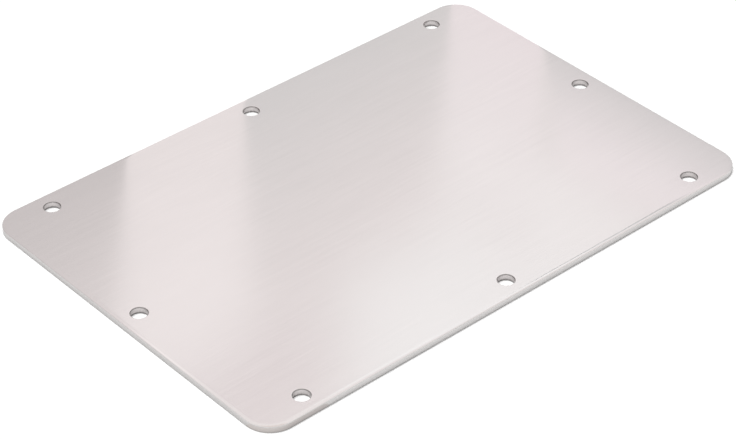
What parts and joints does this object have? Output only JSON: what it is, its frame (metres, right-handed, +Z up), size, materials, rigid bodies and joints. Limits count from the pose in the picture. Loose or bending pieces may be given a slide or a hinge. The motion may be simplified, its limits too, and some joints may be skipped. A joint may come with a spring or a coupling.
{
  "type": "rectangular cover plate",
  "caption": "Flat rectangular sheet-metal cover plate with rounded corners, a softly rolled-over upper edge and plain screw holes round its border.",
  "frame": {"origin": "centre of the underside, on the surface that the plate lies on", "axes": "+X along the length, +Y across the width, +Z up out of the outer face"},
  "size_m": [0.25, 0.17, 0.003],
  "materials": {
    "sheet": "satin mill-finished stainless steel, smooth where its upper edge rolls over and duller on its cut edge and in its bores"
  },
  "bodies": {
    "root": {"cover_plate": "sheet"}
  },
  "joints": []
}
